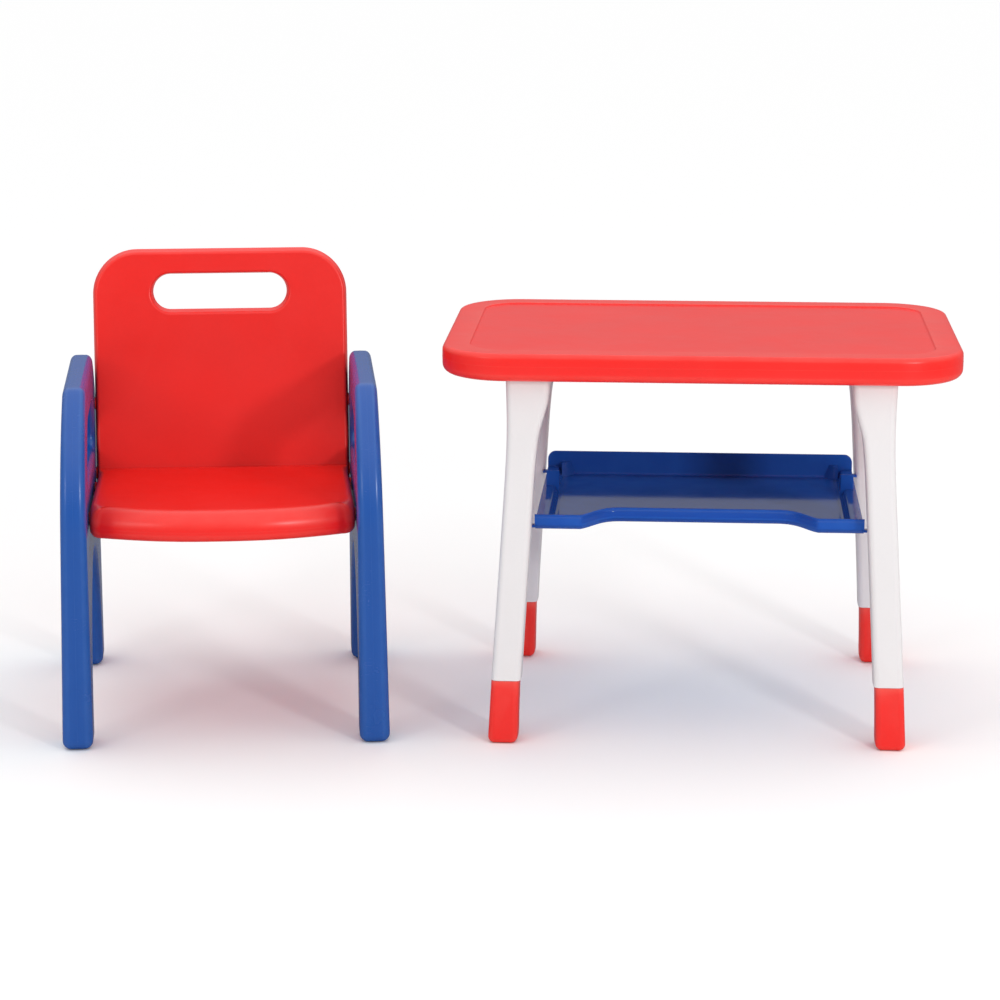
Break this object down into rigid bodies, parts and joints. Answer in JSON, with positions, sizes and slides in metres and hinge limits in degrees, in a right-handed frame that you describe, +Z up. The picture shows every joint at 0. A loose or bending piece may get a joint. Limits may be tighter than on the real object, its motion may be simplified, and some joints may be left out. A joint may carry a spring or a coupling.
{
  "type": "kids table and chair set",
  "caption": "Moulded plastic child's table with splayed legs and a tray under its top, beside an armchair with arched side frames and a handle slot in its back.",
  "frame": {"origin": "on the floor, in the middle of the plan box of the table and chair together", "axes": "+Z up, +X to the right with the table on the right and the chair on the left, the front of both towards -Y, each turned a few degrees towards the middle line"},
  "size_m": [1.0916, 0.4378, 0.53],
  "materials": {
    "red_plastic": "satin moulded",
    "blue_plastic": "satin moulded",
    "white_plastic": "satin moulded",
    "tray_plastic": "gloss moulded",
    "zinc_steel": "zinc plated"
  },
  "bodies": {
    "table": {"tabletop": "red_plastic", "tray": "tray_plastic", "leg_front_left": "white_plastic", "foot_cap_front_left": "red_plastic", "leg_screw_front_left": "zinc_steel", "leg_front_right": "white_plastic", "foot_cap_front_right": "red_plastic", "leg_screw_front_right": "zinc_steel", "leg_rear_left": "white_plastic", "foot_cap_rear_left": "red_plastic", "leg_screw_rear_left": "zinc_steel", "leg_rear_right": "white_plastic", "foot_cap_rear_right": "red_plastic", "leg_screw_rear_right": "zinc_steel"},
    "chair": {"seat": "red_plastic", "backrest": "red_plastic", "side_frame_left": "blue_plastic", "side_frame_right": "blue_plastic", "seat_bolt_front_left": "zinc_steel", "seat_bolt_rear_left": "zinc_steel", "back_bolt_lower_left": "zinc_steel", "back_bolt_upper_left": "zinc_steel", "seat_bolt_front_right": "zinc_steel", "seat_bolt_rear_right": "zinc_steel", "back_bolt_lower_right": "zinc_steel", "back_bolt_upper_right": "zinc_steel"}
  },
  "joints": [
    {"name": "chair_slide", "type": "slide", "parent": "table", "child": "chair", "axis": [0.0854, -0.9963, 0], "range_m": [-0.25, 0.25]}
  ]
}
